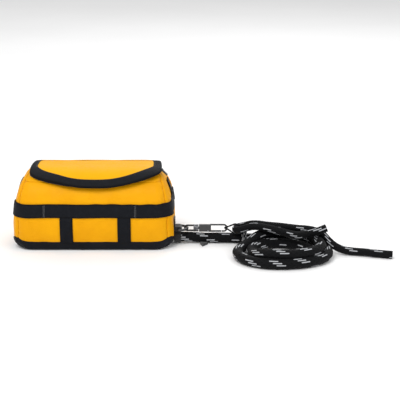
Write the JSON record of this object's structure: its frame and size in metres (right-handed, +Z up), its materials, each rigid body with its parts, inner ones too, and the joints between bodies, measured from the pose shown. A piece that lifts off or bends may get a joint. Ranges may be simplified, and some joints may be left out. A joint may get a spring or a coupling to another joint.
{
  "type": "training bumper",
  "caption": "Duffel-shaped zippered retrieving dummy in yellow coated fabric with black webbing, D-shaped flap, snap hook and a coiled braided throwing rope.",
  "frame": {"origin": "centre of the flat underside of the bag, on the surface it stands on", "axes": "+Z up, +X along the bag towards the end that holds the rope, -Y towards the front that the flap's round edge hangs over"},
  "size_m": [0.3732, 0.1509, 0.0775],
  "materials": {
    "yellow_tarpaulin": "semi-gloss coated fabric",
    "black_webbing": "ribbed polyester webbing",
    "black_base": "coated fabric",
    "foam": "matt closed-cell foam",
    "zip_black": "matt",
    "hook_black": "satin black",
    "bright_metal": "satin",
    "grey_cord": "braided cord",
    "rope_black": "hollow braid with reflective tracers"
  },
  "bodies": {
    "bag": {"base_panel": "black_base", "base_foam": "foam", "front_panel": "yellow_tarpaulin", "back_panel": "yellow_tarpaulin", "mouth_panel": "yellow_tarpaulin", "end_panel_left": "yellow_tarpaulin", "end_panel_right": "yellow_tarpaulin", "front_foam": "foam", "back_foam": "foam", "end_foam_left": "foam", "end_foam_right": "foam", "girth_webbing": "black_webbing", "front_strap_left": "black_webbing", "front_strap_right": "black_webbing", "back_strap_left": "black_webbing", "back_strap_right": "black_webbing", "end_strap_left": "black_webbing", "end_strap_right": "black_webbing", "bar_tacks": "black_webbing", "flap_hinge_strip": "yellow_tarpaulin", "zip_tape_lower": "zip_black", "zip_coil_lower": "zip_black", "zip_stops": "bright_metal", "tow_tab": "black_webbing", "rope_anchor": "rope_black", "leader_end": "rope_black", "hook_loop": "rope_black", "rope_lead": "rope_black", "rope_coil": "rope_black", "rope_whipping": "rope_black", "rope_line": "rope_black"},
    "flap": {"flap_panel": "yellow_tarpaulin", "flap_binding": "black_webbing", "flap_foam": "foam", "zip_tape_upper": "zip_black", "zip_coil_upper": "zip_black"},
    "slider": {"zip_slider": "hook_black"},
    "pull": {"zip_pull": "zip_black"},
    "tow_link": {"tow_ring": "bright_metal", "leader": "grey_cord", "ferrule": "bright_metal"},
    "snap_hook": {"hook_body": "hook_black", "gate_pin": "bright_metal", "gate_spring": "bright_metal"},
    "gate": {"hook_gate": "bright_metal"}
  },
  "joints": [
    {"name": "flap_hinge", "type": "hinge", "parent": "bag", "child": "flap", "pos_m": [0, 0.0294, 0.0701], "axis": [-1, 0, 0], "range_deg": [0, 110]},
    {"name": "zip_slide", "type": "slide", "parent": "bag", "child": "slider", "axis": [0, 1, 0], "range_m": [0, 0.019]},
    {"name": "pull_hinge", "type": "hinge", "parent": "slider", "child": "pull", "pos_m": [0.0686, -0.01, 0.0736], "axis": [0, 1, 0], "range_deg": [-115, 10]},
    {"name": "tow_ring_hinge", "type": "hinge", "parent": "bag", "child": "tow_link", "pos_m": [0.0855, -0.015, 0.0152], "axis": [0, -1, 0], "range_deg": [0, 10], "deforming": ["hook_loop"]},
    {"name": "hook_swivel", "type": "hinge", "parent": "tow_link", "child": "snap_hook", "pos_m": [0.102, -0.015, 0.0152], "axis": [1, 0, 0], "range_deg": [-25, 25]},
    {"name": "gate_hinge", "type": "hinge", "parent": "snap_hook", "child": "gate", "pos_m": [0.114, -0.015, 0.0124], "axis": [0, -1, 0], "range_deg": [0, 16], "stiffness_Nm_per_rad": 0.01}
  ]
}
